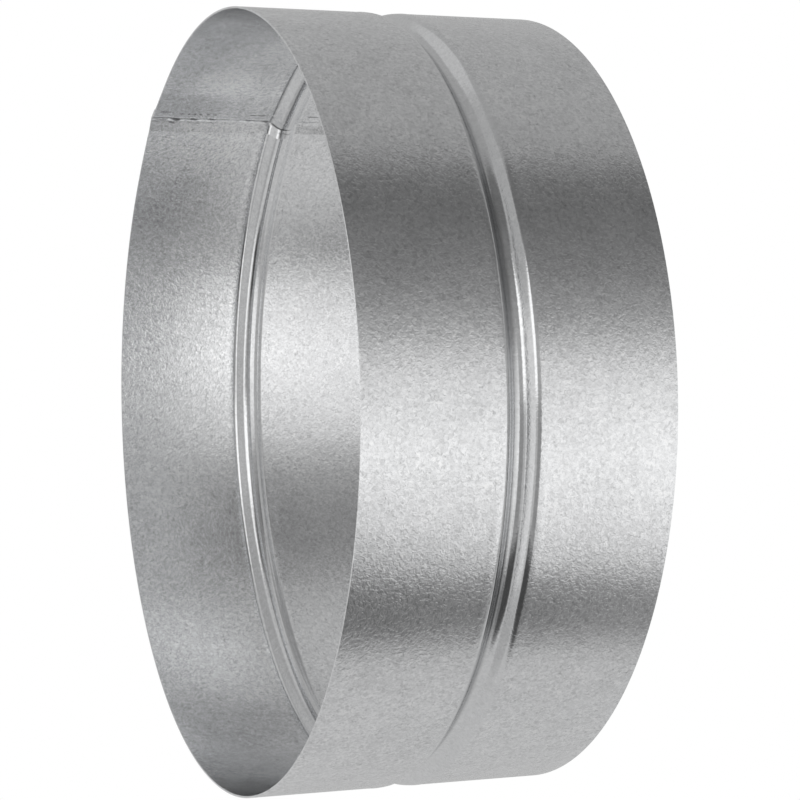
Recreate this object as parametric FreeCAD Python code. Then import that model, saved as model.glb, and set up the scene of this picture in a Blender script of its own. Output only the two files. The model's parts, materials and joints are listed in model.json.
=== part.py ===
import FreeCAD, Part
import math
import os

# Duct connector: a short round sleeve that two ends of ventilation duct are pushed into.
# It is one strip of galvanised steel sheet, rolled into a ring, lapped and welded along one line.
# A stop bead is rolled inwards all round at mid-length, through both sheets where they lap.
# The ring stands on its lower rim: +Z is the duct axis, z = 0 is that rim, and the seam is at +X.
# Lengths are in millimetres and angles in degrees.

# Ring
bore_diameter = 200.4
sheet_thickness = 0.5
ring_length = 78.0

# Stop bead, measured on the middle of the sheet, with its two roller radii as shares of its width
bead_width = 9.6
bead_depth = 3.1
shoulder_share = 0.21
crown_share = 0.285

# Lapped seam, measured along the sheet in plan
# The rolls leave the inner sheet straight at its end, and the outer sheet flatter than the ring.
lap_width = 3.1
straight_end = 15.0
eased_ratio = 1.5
# The outer sheet steps over the inner one's edge in two bends and is back on its arc after this run.
step_run = 4.4
first_bend_clearance = 0.8
second_bend_radius = 1.5

# Worked out from the sizes above
mid_radius = (bore_diameter + sheet_thickness) / 2
mid_height = ring_length / 2
half_sheet = sheet_thickness / 2
shoulder_radius = shoulder_share * bead_width
crown_radius = crown_share * bead_width
first_bend_radius = bead_depth + half_sheet + first_bend_clearance
straight_angle = math.degrees(math.atan2(straight_end, mid_radius))
OUTWARD = -90.0


def toward(angle, length=1.0):
    """A plan vector of the given length at an angle from +X."""
    return FreeCAD.Vector(length * math.cos(math.radians(angle)), length * math.sin(math.radians(angle)), 0)


def angle_of(vector):
    """The angle of a plan vector from +X."""
    return math.degrees(math.atan2(vector.y, vector.x))


def crossing_angle(left_centre, left_radius, right_centre, right_radius):
    """Heading of the line that leaves a left-hand bend and runs straight into a right-hand one."""
    between = right_centre - left_centre
    return angle_of(between) + math.degrees(math.asin((left_radius + right_radius) / between.Length))


def sheet_side(offset, lift):
    """Points of one side of the sheet in section, listed from the lower rim to the upper one.

    The section is drawn with x as height and y as depth into the ring. The offset is outwards from the
    middle of the sheet, and the lift moves the whole sheet outwards. Each arc has a point at its middle
    as well as at its ends.
    """
    shoulder = FreeCAD.Vector(mid_height - bead_width / 2, shoulder_radius, 0)
    crown = FreeCAD.Vector(mid_height, bead_depth - crown_radius, 0)
    facing = crossing_angle(shoulder, shoulder_radius, crown, crown_radius) + OUTWARD
    round_shoulder = shoulder_radius + offset
    round_crown = crown_radius - offset
    wall_end = shoulder + toward(OUTWARD, round_shoulder)
    on_shoulder = shoulder + toward((OUTWARD + facing) / 2, round_shoulder)
    flank_start = shoulder + toward(facing, round_shoulder)
    flank_end = crown - toward(facing, round_crown)
    deepest = crown - toward(OUTWARD, round_crown)
    lower_half = [FreeCAD.Vector(0, -offset, 0), wall_end, on_shoulder, flank_start, flank_end]
    upper_half = [FreeCAD.Vector(ring_length - point.x, point.y, 0) for point in reversed(lower_half)]
    return [point - FreeCAD.Vector(0, lift, 0) for point in lower_half + [deepest] + upper_half]


def side_edges(points):
    """Edges of one side of the sheet: wall, shoulder, flank, crown, flank, shoulder, wall."""
    start, wall_end, on_shoulder, flank_start, flank_end, deepest = points[:6]
    flank_back, flank_top, on_upper_shoulder, wall_start, top = points[6:]
    return [
        Part.makeLine(start, wall_end),
        Part.Arc(wall_end, on_shoulder, flank_start).toShape(),
        Part.makeLine(flank_start, flank_end),
        Part.Arc(flank_end, deepest, flank_back).toShape(),
        Part.makeLine(flank_back, flank_top),
        Part.Arc(flank_top, on_upper_shoulder, wall_start).toShape(),
        Part.makeLine(wall_start, top),
    ]


def section(lift):
    """Face across the sheet: one sheet for no lift, and two lapped sheets for a lift of one sheet.

    It stands in the XZ plane, with the middle of the inner sheet's wall on the Z axis.
    """
    inner = sheet_side(-half_sheet, 0)
    outer = sheet_side(half_sheet, lift)
    edges = side_edges(inner) + side_edges(outer)
    edges += [Part.makeLine(inner[0], outer[0]), Part.makeLine(inner[-1], outer[-1])]
    face = Part.Face(Part.Wire(Part.__sortEdges__(edges)))
    height_to_z = FreeCAD.Rotation(FreeCAD.Vector(0, 0, 1), FreeCAD.Vector(-1, 0, 0), FreeCAD.Vector(0, -1, 0))
    face.Placement = FreeCAD.Placement(FreeCAD.Vector(), height_to_z)
    return face


def placed(face, point, heading):
    """The section moved to a point of the ring's plan, square to the heading there."""
    turned = face.copy()
    turned.rotate(FreeCAD.Vector(), FreeCAD.Vector(0, 0, 1), heading + OUTWARD)
    turned.translate(point)
    return turned


def straight_piece(face, point, heading, length):
    """A straight stretch of sheet, with the point where it ends."""
    run = toward(heading, length)
    return placed(face, point, heading).extrude(run), point + run


def bent_piece(face, point, heading, radius, turn):
    """A stretch of sheet bent about a vertical axis, leftwards for a positive turn, with its end point."""
    side = math.copysign(1.0, turn)
    centre = point + toward(heading + side * 90, radius)
    arm = point - centre
    end = centre + toward(angle_of(arm) + turn, radius)
    piece = placed(face, point, heading).revolve(centre, FreeCAD.Vector(0, 0, side), abs(turn))
    return piece, end


def connector_ring():
    """The strip followed round from the inner sheet's edge, over that edge and back to the lap."""
    sheet = section(0)
    lapped_sheets = section(sheet_thickness)

    # The inner sheet's straight end leaves the ring's circle and rises to a slight peak at its edge.
    end_heading = 90 - straight_angle
    end_start = toward(-straight_angle, mid_radius)
    peak = end_start + toward(end_heading, straight_end)
    lap_start = peak - toward(end_heading, lap_width)
    over_edge = peak + toward(end_heading + OUTWARD, sheet_thickness)

    # The eased arc passes through the peak and runs into the ring's circle from inside its centre.
    eased_radius = eased_ratio * mid_radius
    centre_shift = eased_radius - mid_radius
    reach = peak.Length
    cosine = (eased_radius**2 - centre_shift**2 - reach**2) / (2 * centre_shift * reach)
    eased_end = math.degrees(math.acos(cosine))
    eased_centre = toward(eased_end + 180, centre_shift)
    step_end_angle = angle_of(peak - eased_centre) + math.degrees(step_run / eased_radius)
    step_end = eased_centre + toward(step_end_angle, eased_radius)

    # The step down from the lap is a left-hand bend, a short slope and a right-hand bend.
    first_centre = over_edge + toward(end_heading + 90, first_bend_radius)
    second_centre = step_end + toward(step_end_angle, second_bend_radius)
    slope = crossing_angle(first_centre, first_bend_radius, second_centre, second_bend_radius)
    first_turn = slope - end_heading
    second_turn = step_end_angle + 90 - slope
    first, slope_start = bent_piece(sheet, over_edge, end_heading, first_bend_radius, first_turn)
    slope_end = second_centre + toward(slope + 90, second_bend_radius)
    sloped, slope_end = straight_piece(sheet, slope_start, slope, (slope_end - slope_start).Length)
    second, step_end = bent_piece(sheet, slope_end, slope, second_bend_radius, second_turn)

    eased_turn = eased_end - step_end_angle
    eased, arc_start = bent_piece(sheet, step_end, step_end_angle + 90, eased_radius, eased_turn)
    ring_turn = 360 - straight_angle - eased_end
    ring, end_start = bent_piece(sheet, arc_start, eased_end + 90, mid_radius, ring_turn)
    end, lap_start = straight_piece(sheet, end_start, end_heading, straight_end - lap_width)
    lap, peak = straight_piece(lapped_sheets, lap_start, end_heading, lap_width)
    return ring.multiFuse([first, sloped, second, eased, end, lap]).removeSplitter()


os.makedirs("parts", exist_ok=True)
connector_ring().exportStep("parts/connector_ring.step")
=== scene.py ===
import json
import math

import bpy
import numpy as np
from mathutils import Matrix, Vector


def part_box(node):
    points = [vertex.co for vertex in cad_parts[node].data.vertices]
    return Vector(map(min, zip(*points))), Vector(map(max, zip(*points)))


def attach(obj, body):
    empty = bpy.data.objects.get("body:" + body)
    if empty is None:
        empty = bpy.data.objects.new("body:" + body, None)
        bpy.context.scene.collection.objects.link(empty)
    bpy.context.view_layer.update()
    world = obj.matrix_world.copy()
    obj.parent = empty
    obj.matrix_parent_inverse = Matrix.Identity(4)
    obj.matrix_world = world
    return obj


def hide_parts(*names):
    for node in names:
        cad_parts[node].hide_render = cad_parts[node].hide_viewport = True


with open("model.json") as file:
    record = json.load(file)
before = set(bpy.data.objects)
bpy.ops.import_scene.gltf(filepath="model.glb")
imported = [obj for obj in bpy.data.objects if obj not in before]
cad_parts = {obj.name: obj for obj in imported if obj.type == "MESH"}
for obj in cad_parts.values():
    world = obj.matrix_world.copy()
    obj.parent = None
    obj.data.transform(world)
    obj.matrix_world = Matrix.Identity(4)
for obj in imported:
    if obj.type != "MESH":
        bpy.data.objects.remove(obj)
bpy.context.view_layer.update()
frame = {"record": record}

# Duct connector: one rolled strip of galvanised sheet with a lapped, welded seam and a stop bead.
# The strip is built as one closed mesh, finer than the frame's own, on the same section and plan.
# Lengths are in metres, and angles in degrees unless a name says otherwise.

MM = 0.001
NODE = "connector_ring"

# Sizes read from the frame's record
sockets = {mount["name"]: mount["dims"] for mount in frame["record"]["mounts"]}
ring_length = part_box(NODE)[1][2]
bore_radius = sockets["upper_socket"]["r_mm"] * MM
socket_depth = sockets["upper_socket"]["length_mm"] * MM

# Sizes that the record doesn't state, the same as in the frame's solid
sheet_thickness = 0.5 * MM
bead_depth = 3.1 * MM
shoulder_share = 0.21
crown_share = 0.285
lap_width = 3.1 * MM
straight_end = 15.0 * MM
eased_ratio = 1.5
step_run = 4.4 * MM
first_bend_clearance = 0.8 * MM
second_bend_radius = 1.5 * MM

# Worked out from the sizes above
bead_width = ring_length - 2 * socket_depth
mid_radius = bore_radius + sheet_thickness / 2
mid_height = ring_length / 2
half_sheet = sheet_thickness / 2
shoulder_radius = shoulder_share * bead_width
crown_radius = crown_share * bead_width
first_bend_radius = bead_depth + half_sheet + first_bend_clearance
straight_angle = math.degrees(math.atan2(straight_end, mid_radius))

# Fine forms that only the render needs
bead_lip_height = 0.07 * MM
bead_lip_width = 1.6 * MM
weld_gap = 0.02 * MM
edge_setback = 0.30 * MM
edge_wander = 0.28 * MM
edge_wander_reach = 2.2 * MM

# Mesh steps
wall_steps = 42
shoulder_steps = 9
flank_steps = 3
crown_steps = 16
ring_steps = 232
eased_steps = 22
end_steps = 12
lap_steps = 10
bend_steps = 7
slope_steps = 5
sharp_angle = 50

# Waves of the strip's two free edges: size, radians in a millimetre, and phase, plain and for each seed
edge_waves = [(0.45, 0.55, 0.0, 1.7), (0.35, 1.15, 0.6, 2.3), (0.30, 2.1, 2.2, 1.1)]
inner_edge_seed = 1.0
outer_edge_seed = 2.0


def toward(angle, length=1.0):
    """A plan vector of the given length at an angle from +X."""
    return Vector((length * math.cos(math.radians(angle)), length * math.sin(math.radians(angle))))


def angle_of(vector):
    """The angle of a plan vector from +X."""
    return math.degrees(math.atan2(vector.y, vector.x))


def crossing_angle(left_centre, left_radius, right_centre, right_radius):
    """Heading of the line that leaves a left-hand bend and runs straight into a right-hand one."""
    between = right_centre - left_centre
    return angle_of(between) + math.degrees(math.asin((left_radius + right_radius) / between.length))


def smooth(share):
    """An eased share from 0 to 1."""
    share = min(max(share, 0.0), 1.0)
    return share * share * (3 - 2 * share)


# The sheet in section

def lip(distance):
    """How far the wall bulges outwards beside the bead, at a distance from the bead's edge."""
    if distance >= bead_lip_width:
        return 0.0
    return bead_lip_height * math.sin(math.pi * distance / bead_lip_width) ** 2


def section(offset, nest):
    """Points (outwards, height) of one side of the sheet, from the lower rim to the upper one.

    The offset is outwards from the middle of the sheet. The nest is how far outside the inner sheet's
    bead this sheet's bead lies, square to it, where two sheets lap.
    """
    shoulder = Vector((mid_height - bead_width / 2, shoulder_radius + nest))
    crown = Vector((mid_height, bead_depth - crown_radius + nest))
    facing = crossing_angle(
        Vector((shoulder.x, shoulder_radius)), shoulder_radius,
        Vector((crown.x, bead_depth - crown_radius)), crown_radius) - 90
    round_shoulder = shoulder_radius + offset + nest
    round_crown = crown_radius - offset - nest
    points = []
    for step in range(wall_steps):
        height = shoulder.x * step / wall_steps
        points.append(Vector((height, -offset - lip(shoulder.x - height))))
    for step in range(shoulder_steps + 1):
        points.append(shoulder + toward(-90 + (facing + 90) * step / shoulder_steps, round_shoulder))
    flank_start = points[-1]
    flank_end = crown - toward(facing, round_crown)
    for step in range(1, flank_steps):
        points.append(flank_start.lerp(flank_end, step / flank_steps))
    for step in range(crown_steps // 2 + 1):
        points.append(crown + toward(facing + 180 - (facing + 90) * 2 * step / crown_steps, round_crown))
    lower = [(-point.y, point.x) for point in points]
    upper = [(outwards, ring_length - height) for outwards, height in reversed(lower[:-1])]
    return np.array(lower + upper)


# The strip in plan

def straight_stations(point, heading, length, steps):
    """Stations (point, heading) along a straight stretch, without its first."""
    return [(point + toward(heading, length * step / steps), heading) for step in range(1, steps + 1)]


def bent_stations(point, heading, radius, turn, steps):
    """Stations along a stretch bent leftwards for a positive turn, without its first."""
    side = math.copysign(1.0, turn)
    centre = point + toward(heading + side * 90, radius)
    start = heading - side * 90
    return [
        (centre + toward(start + turn * step / steps, radius), heading + turn * step / steps)
        for step in range(1, steps + 1)
    ]


def strip_stations():
    """The strip followed from the outer sheet's free edge, once round, to the inner sheet's edge.

    Returns the stations, how far each is nested outside the inner sheet, and how far each lies from
    the outer sheet's free edge and from the inner sheet's.
    """
    end_heading = 90 - straight_angle
    end_start = toward(-straight_angle, mid_radius)
    peak = end_start + toward(end_heading, straight_end)
    over_edge = peak + toward(end_heading - 90, sheet_thickness + weld_gap)

    eased_radius = eased_ratio * mid_radius
    centre_shift = eased_radius - mid_radius
    reach = peak.length
    cosine = (eased_radius**2 - centre_shift**2 - reach**2) / (2 * centre_shift * reach)
    eased_end = math.degrees(math.acos(cosine))
    eased_centre = toward(eased_end + 180, centre_shift)
    step_end_angle = angle_of(peak - eased_centre) + math.degrees(step_run / eased_radius)
    step_end = eased_centre + toward(step_end_angle, eased_radius)

    first_centre = over_edge + toward(end_heading + 90, first_bend_radius)
    second_centre = step_end + toward(step_end_angle, second_bend_radius)
    slope = crossing_angle(first_centre, first_bend_radius, second_centre, second_bend_radius)
    slope_start = first_centre + toward(slope - 90, first_bend_radius)
    slope_end = second_centre + toward(slope + 90, second_bend_radius)

    start = over_edge - toward(end_heading, lap_width)
    stations = [(start, end_heading)]
    stations += straight_stations(start, end_heading, lap_width, lap_steps)
    over = len(stations)
    stations += bent_stations(over_edge, end_heading, first_bend_radius, slope - end_heading, bend_steps)
    stations += straight_stations(slope_start, slope, (slope_end - slope_start).length, slope_steps)
    second_turn = step_end_angle + 90 - slope
    stations += bent_stations(slope_end, slope, second_bend_radius, second_turn, bend_steps)
    back = len(stations)
    eased_turn = eased_end - step_end_angle
    stations += bent_stations(step_end, step_end_angle + 90, eased_radius, eased_turn, eased_steps)
    ring_turn = 360 - straight_angle - eased_end
    ring_start = toward(eased_end, mid_radius)
    stations += bent_stations(ring_start, eased_end + 90, mid_radius, ring_turn, ring_steps)
    stations += straight_stations(end_start, end_heading, straight_end - lap_width, end_steps)
    stations += straight_stations(peak - toward(end_heading, lap_width), end_heading, lap_width, lap_steps)

    nested = sheet_thickness + weld_gap
    nests = []
    for index in range(len(stations)):
        nests.append(nested * (1 - smooth((index - over + 1) / (back - over))))
    points = np.array([point[:] for point, heading in stations])
    runs = np.concatenate([[0], np.cumsum(np.linalg.norm(np.diff(points, axis=0), axis=1))])
    return stations, nests, runs, runs[-1] - runs


def wander(height, seed):
    """A smooth, repeatable wander between about -1 and 1 along the seam."""
    place = height / MM
    return sum(
        size * math.sin(rate * place + phase + spread * seed) for size, rate, phase, spread in edge_waves
    )


def strip_mesh():
    """The whole strip as one closed mesh: an inner and an outer side, two rims and two free edges.

    Its points carry how far past the inner sheet's edge they lie, and 1 on the inner side.
    """
    stations, nests, from_outer, from_inner = strip_stations()
    columns = len(stations)
    sides = []
    for offset in (half_sheet, -half_sheet):
        rows = []
        for index, (point, heading) in enumerate(stations):
            along = toward(heading)
            outward = toward(heading - 90)
            profile = section(offset, nests[index])
            edge_pull = 1 - smooth(from_inner[index] / edge_wander_reach)
            tail_pull = 1 - smooth(from_outer[index] / edge_wander_reach)
            column = []
            for out, height in profile:
                shift = edge_pull * wander(height, inner_edge_seed)
                shift -= tail_pull * wander(height, outer_edge_seed)
                shift = edge_wander * shift - edge_setback * edge_pull
                place = point + outward * out + along * shift
                column.append((place.x, place.y, height))
            rows.append(column)
        sides.append(rows)
    vertices = np.array(sides).reshape(-1, 3)
    height_count = len(sides[0][0])
    heights = [height for out, height in section(0.0, 0.0)]
    from_seam = []
    for index in range(columns):
        for height in heights:
            wandered = edge_wander * wander(height, inner_edge_seed)
            beyond = from_outer[index] - lap_width - wandered + edge_setback
            from_seam.append(-from_inner[index] if from_inner[index] < from_outer[index] else beyond)
    outer, inner = 0, columns * height_count

    faces = []
    top = height_count - 1
    for column in range(columns - 1):
        left, right = column * height_count, (column + 1) * height_count
        for row in range(top):
            a, b = left + row, right + row
            faces.append((outer + a, outer + b, outer + b + 1, outer + a + 1))
            faces.append((inner + a, inner + a + 1, inner + b + 1, inner + b))
        faces.append((outer + left, inner + left, inner + right, outer + right))
        faces.append((outer + left + top, outer + right + top, inner + right + top, inner + left + top))
    last = (columns - 1) * height_count
    for row in range(top):
        a = last + row
        faces.append((outer + row, outer + row + 1, inner + row + 1, inner + row))
        faces.append((outer + a, inner + a, inner + a + 1, outer + a + 1))

    mesh = bpy.data.meshes.new("rolled_strip")
    mesh.from_pydata(vertices.tolist(), [], faces)
    mesh.attributes.new("from_seam", "FLOAT", "POINT").data.foreach_set("value", from_seam * 2)
    inward = [0.0] * len(from_seam) + [1.0] * len(from_seam)
    mesh.attributes.new("inward", "FLOAT", "POINT").data.foreach_set("value", inward)
    mesh.shade_smooth()
    mesh.set_sharp_from_angle(angle=math.radians(sharp_angle))
    return mesh


# Objects and node trees

def placed(name, data):
    """A new object in the scene, with a mesh or a camera as its data."""
    piece = bpy.data.objects.new(name, data)
    bpy.context.scene.collection.objects.link(piece)
    return piece


def empty_tree(owner):
    """The node tree of a material or a world, with nothing in it."""
    owner.use_nodes = True
    owner.node_tree.nodes.clear()
    return owner.node_tree


def node(tree, kind, **settings):
    """A shader node with settings, and with values for unlinked inputs whose names follow in_."""
    made = tree.nodes.new(kind)
    for name, value in settings.items():
        if name.startswith("in_"):
            made.inputs[name[3:]].default_value = value
        else:
            setattr(made, name, value)
    return made


def attribute(tree, name):
    """The value of one of the mesh's attributes."""
    return node(tree, "ShaderNodeAttribute", attribute_name=name).outputs["Fac"]


def mixed(tree, share, first, second, output_kind="ShaderNodeOutputMaterial"):
    """Two shaders mixed by a share of the second, as the tree's surface."""
    mix = tree.nodes.new("ShaderNodeMixShader")
    output = tree.nodes.new(output_kind)
    tree.links.new(share, mix.inputs[0])
    tree.links.new(first.outputs[0], mix.inputs[1])
    tree.links.new(second.outputs[0], mix.inputs[2])
    tree.links.new(mix.outputs[0], output.inputs["Surface"])


def maths(tree, operation, first, second=None, third=None):
    """A math node's output for sockets or numbers."""
    made = tree.nodes.new("ShaderNodeMath")
    made.operation = operation
    for place, value in enumerate((first, second, third)):
        if value is None:
            continue
        if isinstance(value, (int, float)):
            made.inputs[place].default_value = value
        else:
            tree.links.new(value, made.inputs[place])
    return made.outputs[0]


def ranged(tree, value, low, high, to_low=0.0, to_high=1.0):
    """A value mapped smoothly from one range to another, and kept inside it."""
    made = tree.nodes.new("ShaderNodeMapRange")
    made.interpolation_type = "SMOOTHSTEP"
    tree.links.new(value, made.inputs["Value"])
    made.inputs["From Min"].default_value = low
    made.inputs["From Max"].default_value = high
    made.inputs["To Min"].default_value = to_low
    made.inputs["To Max"].default_value = to_high
    return made.outputs["Result"]


def noise(tree, place, size, detail=3.0, roughness=0.55, distortion=0.0):
    """Noise with blobs of about the given size in metres."""
    made = tree.nodes.new("ShaderNodeTexNoise")
    tree.links.new(place, made.inputs["Vector"])
    made.inputs["Scale"].default_value = 1 / size
    made.inputs["Detail"].default_value = detail
    made.inputs["Roughness"].default_value = roughness
    made.inputs["Distortion"].default_value = distortion
    return made.outputs["Fac"]


def varied(tree, layer, amount, base):
    """A base that a layer of noise raises or lowers by up to half the amount."""
    return maths(tree, "MULTIPLY_ADD", maths(tree, "SUBTRACT", layer, 0.5), amount, base)


# The zinc's colour, the sizes of its layers of noise, and how far each changes the tone
zinc_colour = (0.860, 0.866, 0.874)
grain_size = 0.9 * MM
fleck_size = 1.1 * MM
coarse_spot_size = 3 * MM
mottle_size = 3.6 * MM
patch_size = 9 * MM
cloud_size = 28 * MM
ragged_size = 0.7 * MM
grain_change = 0.9
fleck_change = 0.16
mottle_change = 0.22
patch_change = 0.16
cloud_change = 0.16
# How much of the grain the rollers took away on the bead
burnished_tone_loss = 0.55
burnished_roughness_loss = 0.03
burnished_bump_loss = 0.55

# Its roughness and relief
zinc_roughness = 0.16
roughness_change = 0.10
bump_depth = 0.09 * MM
bump_full_strength = 0.8

# Painted shade in the groove on the outer side, a little above mid-length
groove_shade_lift = 1.9 * MM
groove_shade_reach = 2.4 * MM
groove_shade_core = 0.9 * MM
groove_shade_share = 0.34

# The welded edge's ridge, and how high the weld's lumps stand, as shares of the grain's relief
edge_ridge_place = -0.7 * MM
edge_ridge_reach = 0.5 * MM
edge_ridge_core = 0.1 * MM
edge_ridge_height = 0.5
lump_height = 4.0

# How far the grain and the ragged noise shift the outlines of the marks
height_shift = 0.6 * MM
across_shift = 0.5 * MM

# Marks beside the seam, seen from inside: height, distance past the inner sheet's edge, half height,
# half width (all in millimetres) and how much darker the zinc is there, or lighter where negative
# The first table is painted shade in the open gaps where the inner sheet's edge stands off the outer sheet
painted_gap_shade = [
    (75.2, -0.35, 1.9, 0.20, 0.45), (75.0, 1.20, 1.8, 0.24, 0.50), (71.1, 0.40, 1.8, 0.85, 0.80),
    (68.6, 0.10, 0.8, 0.20, 0.40), (66.0, 0.35, 1.7, 0.80, 0.75), (60.8, 0.35, 1.5, 0.75, 0.70),
    (49.6, 0.35, 1.4, 0.60, 0.60), (46.8, 0.20, 2.0, 0.30, 0.45), (44.6, 0.40, 1.5, 0.75, 0.70),
    (39.3, 0.95, 3.4, 1.25, 0.90), (33.8, 0.10, 2.4, 0.30, 0.45), (30.4, 0.15, 2.2, 0.40, 0.50),
]
drips = [
    (71.9, 2.10, 1.0, 0.36, 0.55), (73.2, 3.5, 0.5, 0.3, 0.22), (72.3, 4.2, 0.6, 0.5, 0.12),
    (65.6, 2.05, 1.7, 0.14, 0.22), (60.6, 1.95, 1.4, 0.16, 0.22), (56.2, 1.6, 0.4, 0.25, 0.30),
    (38.8, 3.4, 2.2, 0.28, 0.28),
]
weld_spots = [
    (76.1, -3.4, 0.22, 0.50, 0.30), (75.5, -3.3, 0.2, 0.60, 0.34), (74.9, -3.3, 0.2, 0.60, 0.34),
    (74.3, -3.3, 0.2, 0.50, 0.28), (73.6, -3.3, 0.2, 0.50, 0.20), (72.7, -3.2, 0.3, 0.40, 0.16),
    (70.1, -2.7, 0.35, 0.30, 0.30), (68.0, -2.7, 0.35, 0.32, 0.32), (66.2, -2.8, 0.38, 0.34, 0.32),
    (65.3, -2.8, 0.25, 0.34, -0.14), (64.6, -2.8, 0.32, 0.32, 0.30), (63.4, -2.8, 0.35, 0.36, -0.16),
    (62.3, -2.8, 0.35, 0.34, 0.32), (61.2, -2.8, 0.3, 0.3, -0.12), (60.2, -2.8, 0.26, 0.40, 0.34),
    (59.2, -2.8, 0.35, 0.36, -0.16), (49.0, -2.5, 0.9, 0.16, -0.14), (49.0, -3.0, 0.9, 0.18, 0.45),
    (49.0, -3.5, 0.9, 0.16, -0.14), (46.6, -3.0, 1.2, 0.24, 0.42), (44.7, -3.0, 0.14, 0.9, 0.20),
    (44.2, -3.0, 0.14, 0.9, -0.14), (31.0, -3.0, 1.5, 0.26, 0.38),
]
# How many times larger and stronger the weld spots are than their table says
spot_growth = 1.15
spot_strength = 1.5
# Broad patches beside the seam, darker where the share is positive and lighter where negative
seam_patches = [
    (67.0, -7.0, 11.0, 5.0, 0.12), (60.5, -18.0, 9.0, 8.0, -0.14), (62.0, 10.0, 16.0, 10.0, -0.12),
]
# The last number of a lump is its share of the lumps' full height
weld_lumps = [(43.0, -3.0, 0.5, 0.6, 1.0), (41.4, -3.0, 0.5, 0.6, 1.0), (40.2, -3.0, 0.4, 0.5, 0.8)]


def mark(tree, height, across, spot, clear=1.4, full=0.35):
    """The share of one mark at a point, from the point's height and its distance past the edge.

    It is nothing past clear and all of it inside full, both as squares of the share of its half size.
    """
    middle, past_edge, half_height, half_width, share = spot
    rise = maths(tree, "MULTIPLY_ADD", height, 1 / (half_height * MM), -middle / half_height)
    run = maths(tree, "MULTIPLY_ADD", across, 1 / (half_width * MM), -past_edge / half_width)
    apart = maths(tree, "ADD", maths(tree, "MULTIPLY", rise, rise), maths(tree, "MULTIPLY", run, run))
    return ranged(tree, apart, clear, full, 0.0, share)


def zinc_tone(tree, place, grain, patches, burnished):
    """The zinc's tone about 1: its grain, coarser in spots, its mottle, patches, clouds and flecks."""
    coarse = noise(tree, place, coarse_spot_size, detail=1.0)
    mottle = noise(tree, place, mottle_size, detail=2.0, roughness=0.6, distortion=1.5)
    cloud = noise(tree, place, cloud_size, detail=3.0, roughness=0.6)
    flecks = noise(tree, place, fleck_size, detail=1.0, roughness=0.4)
    fleck = ranged(tree, flecks, 0.31, 0.25)
    depth = maths(tree, "MULTIPLY_ADD", ranged(tree, coarse, 0.35, 0.65), 0.5, 0.75)
    tone = maths(tree, "SUBTRACT", grain, 0.5)
    tone = maths(tree, "MULTIPLY", tone, maths(tree, "MULTIPLY", depth, grain_change))
    for layer, amount in ((mottle, mottle_change), (patches, patch_change), (cloud, cloud_change)):
        tone = varied(tree, layer, amount, tone)
    tone = maths(tree, "SUBTRACT", tone, maths(tree, "MULTIPLY", fleck, fleck_change))
    tone = maths(tree, "MULTIPLY", tone, maths(tree, "MULTIPLY_ADD", burnished, -burnished_tone_loss, 1.0))
    return maths(tree, "ADD", tone, 1.0)


def painted_groove_shade(tree, height, inward):
    """How much darker the painted shade in the groove makes the outer side."""
    away = maths(tree, "ABSOLUTE", maths(tree, "SUBTRACT", height, mid_height + groove_shade_lift))
    painted_shade = ranged(tree, away, groove_shade_reach, groove_shade_core, 0.0, groove_shade_share)
    return maths(tree, "MULTIPLY", painted_shade, maths(tree, "SUBTRACT", 1.0, inward))


def seam_marks_and_shade(tree, height, across):
    """How much darker all the marks beside the seam make the inner side, painted shade in the gaps between
    the sheets among them.
    """
    marks_and_shade = 0.0
    spots = [
        (middle, past_edge, half_height * spot_growth, half_width * spot_growth, share * spot_strength)
        for middle, past_edge, half_height, half_width, share in weld_spots
    ]
    # Painted shade in the gaps between the sheets, then the weld's drips and spots
    for spot in painted_gap_shade + drips + spots:
        marks_and_shade = maths(tree, "ADD", mark(tree, height, across, spot), marks_and_shade)
    for spot in seam_patches:
        marks_and_shade = maths(tree, "ADD", mark(tree, height, across, spot, clear=1.6, full=0.0), marks_and_shade)
    return marks_and_shade


def seam_relief(tree, height, across):
    """How far the welded edge's ridge and the weld's lumps stand proud."""
    from_ridge = maths(tree, "ABSOLUTE", maths(tree, "SUBTRACT", across, edge_ridge_place))
    ridge = ranged(tree, from_ridge, edge_ridge_reach, edge_ridge_core)
    relief = maths(tree, "MULTIPLY", ridge, edge_ridge_height)
    for spot in weld_lumps:
        relief = maths(tree, "MULTIPLY_ADD", mark(tree, height, across, spot), lump_height, relief)
    return relief


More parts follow.
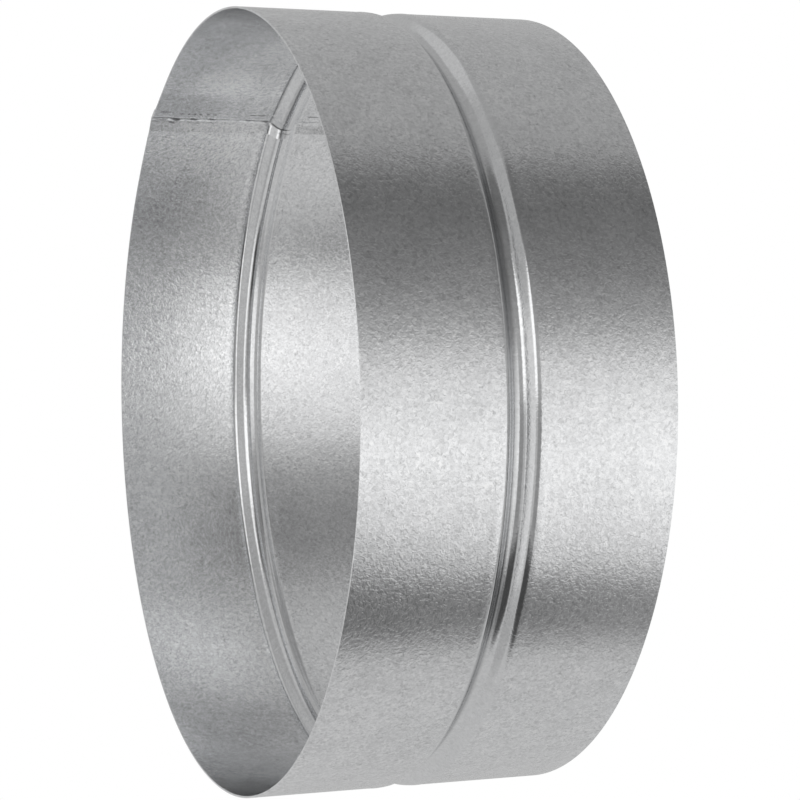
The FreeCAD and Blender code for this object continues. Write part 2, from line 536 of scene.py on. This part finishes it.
def galvanised():
    """Zinc-coated sheet: a fine mottled grain, small dark flecks, a smoother band where the bead was
    rolled, painted shade in the outer groove, and beside the seam the weld's marks and painted shade in its
    gaps."""
    material = bpy.data.materials.new("galvanised_sheet")
    tree = empty_tree(material)
    links = tree.links
    place = tree.nodes.new("ShaderNodeTexCoord").outputs["Object"]
    axes = tree.nodes.new("ShaderNodeSeparateXYZ")
    links.new(place, axes.inputs[0])
    height = axes.outputs["Z"]
    seam = attribute(tree, "from_seam")
    inward = attribute(tree, "inward")

    from_middle = maths(tree, "ABSOLUTE", maths(tree, "SUBTRACT", height, mid_height))
    burnished = ranged(tree, from_middle, bead_width * 0.50, bead_width * 0.40)
    grain = noise(tree, place, grain_size, detail=3.0, roughness=0.55, distortion=0.9)
    patches = noise(tree, place, patch_size, detail=3.0)
    ragged = noise(tree, place, ragged_size, detail=2.0)
    across = varied(tree, ragged, across_shift, seam)
    mark_height = varied(tree, grain, height_shift, height)

    # Painted shade in the seam's gaps, with the weld's marks, on the inner side
    marks_and_shade = maths(tree, "MULTIPLY", seam_marks_and_shade(tree, mark_height, across), inward)
    # Painted shade in the outer groove darkens the tone along with the seam's marks
    marks_and_shade = maths(tree, "ADD", marks_and_shade, painted_groove_shade(tree, height, inward))
    tone = zinc_tone(tree, place, grain, patches, burnished)
    tone = maths(tree, "MULTIPLY", tone, maths(tree, "SUBTRACT", 1.0, marks_and_shade))
    colour = node(tree, "ShaderNodeVectorMath", operation="SCALE")
    colour.inputs[0].default_value = zinc_colour
    links.new(tone, colour.inputs["Scale"])

    roughness = varied(tree, patches, roughness_change, zinc_roughness)
    loss = maths(tree, "MULTIPLY", burnished, burnished_roughness_loss)
    roughness = maths(tree, "SUBTRACT", roughness, loss)

    bump = node(tree, "ShaderNodeBump", in_Distance=bump_depth)
    strength = maths(tree, "MULTIPLY_ADD", burnished, -burnished_bump_loss, bump_full_strength)
    relief = maths(tree, "MULTIPLY_ADD", seam_relief(tree, mark_height, across), inward, grain)
    links.new(strength, bump.inputs["Strength"])
    links.new(relief, bump.inputs["Height"])

    surface = node(tree, "ShaderNodeBsdfPrincipled", in_Metallic=1.0)
    links.new(colour.outputs["Vector"], surface.inputs["Base Color"])
    links.new(roughness, surface.inputs["Roughness"])
    links.new(bump.outputs["Normal"], surface.inputs["Normal"])
    output = tree.nodes.new("ShaderNodeOutputMaterial")
    links.new(surface.outputs["BSDF"], output.inputs["Surface"])
    return material


# Surroundings

plain_world_strength = 0.6
card_steps = 40
floor_half_width = 30.0
floor_height = -3.2
floor_colour = (0.9, 0.9, 0.9, 1)


def seen_directly(tree):
    """1 for camera, glossy and transmitted rays, which should meet a white background."""
    rays = tree.nodes.new("ShaderNodeLightPath")
    seen = maths(tree, "MAXIMUM", rays.outputs["Is Camera Ray"], rays.outputs["Is Glossy Ray"])
    return maths(tree, "MAXIMUM", seen, rays.outputs["Is Transmission Ray"])


def white_surroundings():
    """A white background for camera, glossy and transmitted rays, and a plain grey light otherwise."""
    world = bpy.data.worlds.new("surroundings")
    bpy.context.scene.world = world
    tree = empty_tree(world)
    colour = (1, 1, 1, 1)
    plain = node(tree, "ShaderNodeBackground", in_Color=colour, in_Strength=plain_world_strength)
    white = node(tree, "ShaderNodeBackground", in_Color=colour, in_Strength=1.0)
    mixed(tree, seen_directly(tree), plain, white, "ShaderNodeOutputWorld")


def card_material(name):
    """Light of the shade that the card's points carry, see-through where their cover is below 1."""
    material = bpy.data.materials.new(name)
    tree = empty_tree(material)
    glow = tree.nodes.new("ShaderNodeEmission")
    clear = tree.nodes.new("ShaderNodeBsdfTransparent")
    tree.links.new(attribute(tree, "shade"), glow.inputs["Strength"])
    mixed(tree, attribute(tree, "cover"), clear, glow)
    return material


def card(name, azimuths, elevations, shades, distance=2.6, soft=8, strength=1.0):
    """A curved studio card that the sheet reflects: a patch of a large sphere round the ring.

    Azimuths and elevations are its edges in degrees, seen from the ring's middle. Shades are how
    bright it is at places spaced evenly from one azimuth to the other, as shares of white. It fades
    out over the soft width, half of which lies outside its edges, and a card of less than full
    strength is see-through. Where it reaches the zenith, its upper edge doesn't fade.
    """
    low_azimuth, high_azimuth = azimuths[0] - soft / 2, azimuths[1] + soft / 2
    low_elevation, high_elevation = elevations[0] - soft / 2, min(elevations[1] + soft / 2, 90)
    vertices, faces, glows, covers = [], [], [], []
    for row in range(card_steps + 1):
        elevation = low_elevation + (high_elevation - low_elevation) * row / card_steps
        height = mid_height + distance * math.sin(math.radians(elevation))
        below_top = high_elevation - elevation if elevations[1] < 90 else soft
        for column in range(card_steps + 1):
            azimuth = low_azimuth + (high_azimuth - low_azimuth) * column / card_steps
            flat = toward(azimuth, distance * math.cos(math.radians(elevation)))
            vertices.append((flat.x, flat.y, height))
            share = min(max((azimuth - azimuths[0]) / (azimuths[1] - azimuths[0]), 0), 1)
            glows.append(np.interp(share * (len(shades) - 1), range(len(shades)), shades))
            cover = strength
            if soft:
                sides = (azimuth - low_azimuth, high_azimuth - azimuth, elevation - low_elevation, below_top)
                for inside in sides:
                    cover *= smooth(inside / soft)
            covers.append(cover)
            if row and column:
                last = len(vertices) - 1
                faces.append((last - card_steps - 2, last - card_steps - 1, last, last - 1))
    mesh = bpy.data.meshes.new(name)
    mesh.from_pydata(vertices, [], faces)
    mesh.attributes.new("shade", "FLOAT", "POINT").data.foreach_set("value", glows)
    mesh.attributes.new("cover", "FLOAT", "POINT").data.foreach_set("value", covers)
    mesh.materials.append(card_material(name))
    piece = placed(name, mesh)
    piece.visible_camera = False


def floor():
    """A plain pale floor, far below the ring so that it stays clear of the cards."""
    half, depth = floor_half_width, floor_height
    corners = [(-half, -half, depth), (half, -half, depth), (half, half, depth), (-half, half, depth)]
    mesh = bpy.data.meshes.new("floor")
    mesh.from_pydata(corners, [], [(0, 1, 2, 3)])
    material = bpy.data.materials.new("pale_floor")
    tree = empty_tree(material)
    pale = node(tree, "ShaderNodeBsdfDiffuse", in_Color=floor_colour)
    white = node(tree, "ShaderNodeEmission", in_Strength=1.0)
    mixed(tree, seen_directly(tree), pale, white)
    mesh.materials.append(material)
    placed("floor", mesh)


# Camera

camera_place = Vector((-363.66, -468.88, 263.28)) * MM
camera_aim = Vector((0.5699, 0.7351, -0.3671))
camera_right = Vector((-0.2381, -0.2799, -0.9300))
camera_lens = 108.46
camera_sensor = 36
camera_near = 0.01


def photo_camera():
    """The photograph's camera, rolled so that the duct's axis lies across the picture."""
    data = bpy.data.cameras.new("photo_camera")
    data.lens = camera_lens
    data.sensor_width = camera_sensor
    data.clip_start = camera_near
    back = -camera_aim.normalized()
    up = back.cross(camera_right).normalized()
    right = up.cross(back)
    turn = Matrix((right, up, back)).transposed().to_4x4()
    camera = placed("photo_camera", data)
    camera.matrix_world = Matrix.Translation(camera_place) @ turn
    bpy.context.scene.camera = camera


# The object

ring = placed("rolled_strip", strip_mesh())
ring.data.materials.append(galvanised())
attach(ring, "root")
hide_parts(NODE)

# The studio

white_surroundings()
floor()
# Its cards, seen from the ring's middle, from the farthest cards to the nearest
card("grey_surround", (0, 360), (-90, 58), (0.42, 0.42), distance=3.0, soft=0)
card("grey_above_far", (-88, 150), (42, 75), (0.40, 0.40), distance=2.98)
card("grey_above_right", (150, 232), (36, 58), (0.46, 0.46), distance=2.96)
card("grey_above_near", (128, 278), (58, 90), (0.70, 0.70), distance=2.94)
card("grey_below_far", (-60, 62), (-60, -45), (0.28, 0.28), distance=2.92)
card("grey_far_low", (-72, 5), (-45, 40), (0.30, 0.41), distance=2.9)
card("grey_far_upper", (-20, 30), (12, 36), (0.52, 0.52), distance=2.89)
card("grey_far_high", (5, 30), (-45, 12), (0.42, 0.46), distance=2.88)
card("white_far", (30, 66), (-45, 30), (0.50, 0.60), distance=2.86)
card("grey_side", (66, 160), (-60, 42), (0.52, 0.52), distance=2.84)
card("left_falloff", (-113, -84), (-62, 30), (0.40, 0.14), distance=2.82)
card("dark_flag_left", (-84, -70), (-58, 36), (0.15, 0.15), distance=2.8)
card("softbox_core", (-150, -113), (-62, -6), (1.02, 0.64), distance=2.78)
card("softbox_end", (-180, -150), (-62, -22), (0.70, 1.00), distance=2.76)
card("softbox_corner", (-180, -150), (-22, -7), (0.38, 0.88), distance=2.74)
card("camera_gap_right", (-166, -128), (-6, 34), (0.26, 0.30), distance=2.72)
card("camera_gap_left", (-128, -113), (-6, 30), (0.38, 0.42), distance=2.7)
card("high_side_softbox", (-128, -88), (32, 60), (1.15, 1.15), distance=2.68)
card("dark_flag_left_near", (-82, -65), (-58, 36), (0.15, 0.15), distance=0.48)
card("dark_flag_right", (166, 194), (-10, 38), (0.06, 0.06), distance=0.48)
card("dark_flag_right_low", (167, 185), (-27, -10), (0.18, 0.18), distance=0.48)
card("dark_flag_right_foot", (160, 180), (-50, -27), (0.30, 0.30), distance=0.48)
card("bounce_left", (-78, 28), (-62, -27), (0.35, 1.00), distance=0.11, strength=0.25)
card("inner_ceiling", (-30, 130), (18, 54), (0.50, 0.50, 0.56, 0.54, 0.38, 0.34, 0.55, 0.60, 0.60),
     distance=0.11, strength=0.8)
card("inner_ceiling_glow", (-30, 130), (57, 82), (1.00, 1.20, 1.20, 1.20, 1.00),
     distance=0.109, soft=5, strength=0.7)
card("bounce_near", (-190, -138), (-36, -25), (1.75, 1.75), distance=0.11, soft=6, strength=0.35)
card("bounce_rim", (128, 172), (-38, -23), (0.62, 0.62), distance=0.11, soft=6, strength=0.6)
card("bounce_right", (103, 145), (-62, -27), (0.60, 0.60), distance=0.11, strength=0.25)
photo_camera()
bpy.context.scene.view_settings.view_transform = "Standard"
